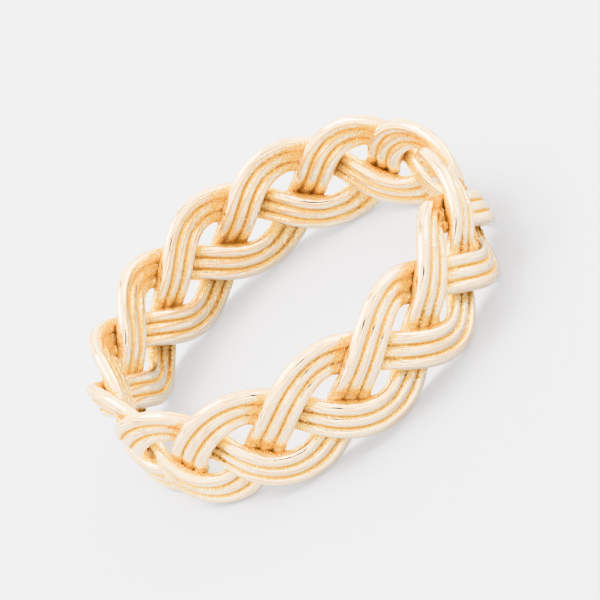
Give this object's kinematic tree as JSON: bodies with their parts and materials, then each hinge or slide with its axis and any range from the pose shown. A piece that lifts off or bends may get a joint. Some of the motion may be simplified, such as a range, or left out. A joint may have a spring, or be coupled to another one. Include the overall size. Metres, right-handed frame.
{
  "type": "braided band ring",
  "caption": "Plaited band ring for a finger: flat strands of fused round wires woven over and under each other, with almond-shaped openings through the band.",
  "frame": {"origin": "on the finger axis, in the plane that the bights of the lower edge rest on", "axes": "+Z along the finger axis, up from the lower edge; -Y is the side of the band nearest the viewer in the picture"},
  "size_m": [0.0202, 0.02, 0.0056],
  "materials": {
    "gold": "pale yellow gold, polished on the wires and left cast-rough in the recesses"
  },
  "bodies": {
    "root": {"strand_a": "gold", "strand_b": "gold", "strand_c": "gold"}
  },
  "joints": []
}
